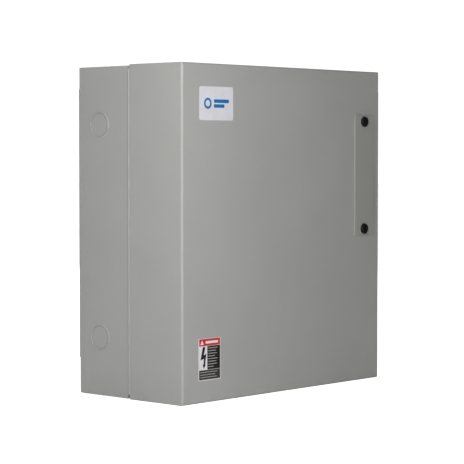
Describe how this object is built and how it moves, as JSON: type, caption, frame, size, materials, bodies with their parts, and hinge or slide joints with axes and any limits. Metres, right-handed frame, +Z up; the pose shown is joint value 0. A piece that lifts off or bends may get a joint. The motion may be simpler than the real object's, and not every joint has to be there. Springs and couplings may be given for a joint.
{
  "type": "automatic transfer switch",
  "caption": "Wall-mounted automatic transfer switch: steel enclosure with hinged deep door, quarter-turn latches, interlocked double-throw contactors, controller and lugs.",
  "frame": {"origin": "centre of the flat back that lies on the wall, also the centre of its four screw holes", "axes": "+Z up, +Y back towards the wall, the door faces -Y and is hinged on its -X side"},
  "size_m": [0.4275, 0.207, 0.4572],
  "materials": {
    "enclosure_paint": "light grey powder coat, fine orange peel",
    "hinge_steel": "zinc plated",
    "galvanised_steel": "galvanised, spangled",
    "zinc_fastener": "bright zinc plated",
    "latch_black": "black moulded nylon",
    "bush_black": "black moulded nylon",
    "cam_steel": "zinc plated, worn",
    "label_white": "printed polyester film",
    "label_danger": "printed polyester film, red black and white",
    "label_diagram": "printed paper under film",
    "moulding_black": "glass filled phenolic",
    "moulding_grey": "glass filled polyester",
    "carrier_red": "moulded thermoset",
    "copper": "tin-free rolled copper with silver tips",
    "coil_tape": "varnished tape",
    "laminations": "stacked electrical steel, varnished",
    "lever_yellow": "yellow powder coat",
    "lug_aluminium": "tin plated extrusion",
    "insulator_red": "moulded polyester",
    "board_green": "solder mask",
    "button_grey": "moulded button",
    "lens_green": "tinted lens",
    "fuse_ceramic": "ceramic tube with metal caps",
    "relay_case": "smoked polycarbonate",
    "wire_insulation": "PVC insulation"
  },
  "bodies": {
    "enclosure": {"rear_box": "enclosure_paint", "box_rim": "enclosure_paint", "hinge_box_leaf": "hinge_steel", "hinge_pin": "hinge_steel", "catch_bracket": "galvanised_steel", "mounting_panel": "galvanised_steel", "panel_standoffs": "zinc_fastener", "panel_nuts": "zinc_fastener", "normal_switch_base": "moulding_black", "emergency_switch_base": "moulding_black", "normal_switch_cover": "moulding_grey", "emergency_switch_cover": "moulding_grey", "operating_coils": "coil_tape", "magnet_cores": "laminations", "fixed_contacts": "copper", "interlock_bracket": "galvanised_steel", "rocker_shaft": "zinc_fastener", "normal_line_lugs": "lug_aluminium", "emergency_line_lugs": "lug_aluminium", "load_lugs": "lug_aluminium", "neutral_lugs": "lug_aluminium", "lug_set_screws": "zinc_fastener", "load_bus_bars": "copper", "neutral_bar": "lug_aluminium", "bar_insulators": "insulator_red", "ground_bar": "lug_aluminium", "controller_base": "moulding_black", "controller_board": "board_green", "controller_cover": "moulding_grey", "status_lenses": "lens_green", "transformer_core": "laminations", "transformer_winding": "coil_tape", "fuse_block": "moulding_black", "fuses": "fuse_ceramic", "control_relays": "relay_case", "terminal_strip": "moulding_black", "control_harness": "wire_insulation", "pan_head_screws": "zinc_fastener"},
    "door": {"door_pan": "enclosure_paint", "hinge_door_leaf": "hinge_steel", "latch_plate": "enclosure_paint", "latch_bushes": "bush_black", "product_label": "label_white", "danger_label": "label_danger", "wiring_diagram_label": "label_diagram"},
    "upper_latch": {"upper_latch_rotor": "latch_black", "upper_latch_cam": "cam_steel", "upper_latch_screw": "zinc_fastener"},
    "lower_latch": {"lower_latch_rotor": "latch_black", "lower_latch_cam": "cam_steel", "lower_latch_screw": "zinc_fastener"},
    "rocker": {"interlock_rocker": "lever_yellow"},
    "normal_carrier": {"normal_contact_carrier": "carrier_red", "normal_moving_contacts": "copper", "normal_armature": "laminations"},
    "emergency_carrier": {"emergency_contact_carrier": "carrier_red", "emergency_moving_contacts": "copper", "emergency_armature": "laminations"},
    "transfer_test_button": {"transfer_test_button": "button_grey"},
    "generator_test_button": {"generator_test_button": "button_grey"}
  },
  "joints": [
    {"name": "door_hinge", "type": "hinge", "parent": "enclosure", "child": "door", "pos_m": [-0.2119, -0.101, 0], "axis": [0, 0, -1], "range_deg": [0, 115]},
    {"name": "upper_latch_turn", "type": "hinge", "parent": "door", "child": "upper_latch", "pos_m": [0.1747, -0.19, 0.1542], "axis": [0, 1, 0], "range_deg": [0, 90]},
    {"name": "lower_latch_turn", "type": "hinge", "parent": "door", "child": "lower_latch", "pos_m": [0.1747, -0.19, -0.0038], "axis": [0, 1, 0], "range_deg": [0, 90]},
    {"name": "transfer_rocker", "type": "hinge", "parent": "enclosure", "child": "rocker", "pos_m": [-0.074, -0.0725, 0.02], "axis": [0, 0, 1], "range_deg": [0, 24.73]},
    {"name": "normal_carrier_slide", "type": "slide", "parent": "enclosure", "child": "normal_carrier", "axis": [0, -1, 0], "range_m": [0, 0.006]},
    {"name": "emergency_carrier_slide", "type": "slide", "parent": "enclosure", "child": "emergency_carrier", "axis": [0, 1, 0], "range_m": [0, 0.006]},
    {"name": "transfer_test_press", "type": "slide", "parent": "enclosure", "child": "transfer_test_button", "axis": [0, 1, 0], "range_m": [0, 0.0015], "stiffness_N_per_m": 400, "springref_m": -0.001},
    {"name": "generator_test_press", "type": "slide", "parent": "enclosure", "child": "generator_test_button", "axis": [0, 1, 0], "range_m": [0, 0.0015], "stiffness_N_per_m": 400, "springref_m": -0.001}
  ],
  "couplings": [
    {"joint": "normal_carrier_slide", "follows": "transfer_rocker", "m_per_rad": 0.013901},
    {"joint": "emergency_carrier_slide", "follows": "transfer_rocker", "m_per_rad": 0.013901}
  ]
}
